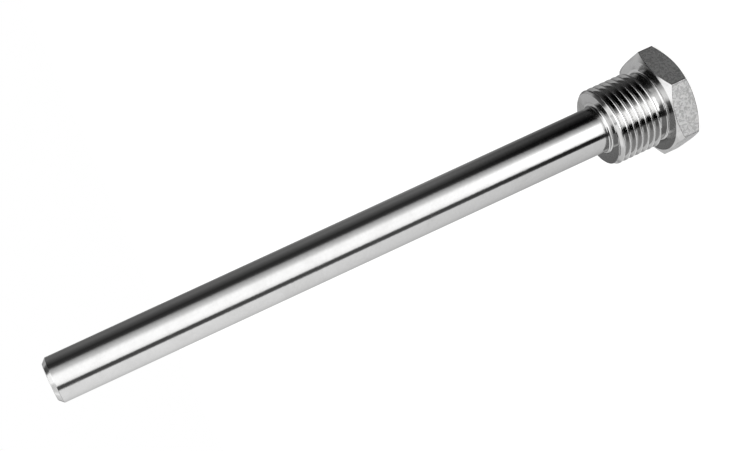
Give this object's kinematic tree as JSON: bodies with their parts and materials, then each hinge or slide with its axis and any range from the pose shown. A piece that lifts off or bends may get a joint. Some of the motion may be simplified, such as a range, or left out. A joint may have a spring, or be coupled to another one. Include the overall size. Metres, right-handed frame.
{
  "type": "thermowell",
  "caption": "One-piece thermowell: hexagon head, parallel pipe thread with undercut, and a long slim stem with a closed tip, bored blind for a probe.",
  "frame": {"origin": "centre of the bore's mouth, on the open end face of the hexagon head", "axes": "+Z along the stem towards the closed tip, +X through a corner of the hexagon"},
  "size_m": [0.0294, 0.0254, 0.1727],
  "materials": {
    "stainless_steel": "fine turned and brushed stainless steel"
  },
  "bodies": {
    "root": {"thermowell": "stainless_steel"}
  },
  "joints": []
}
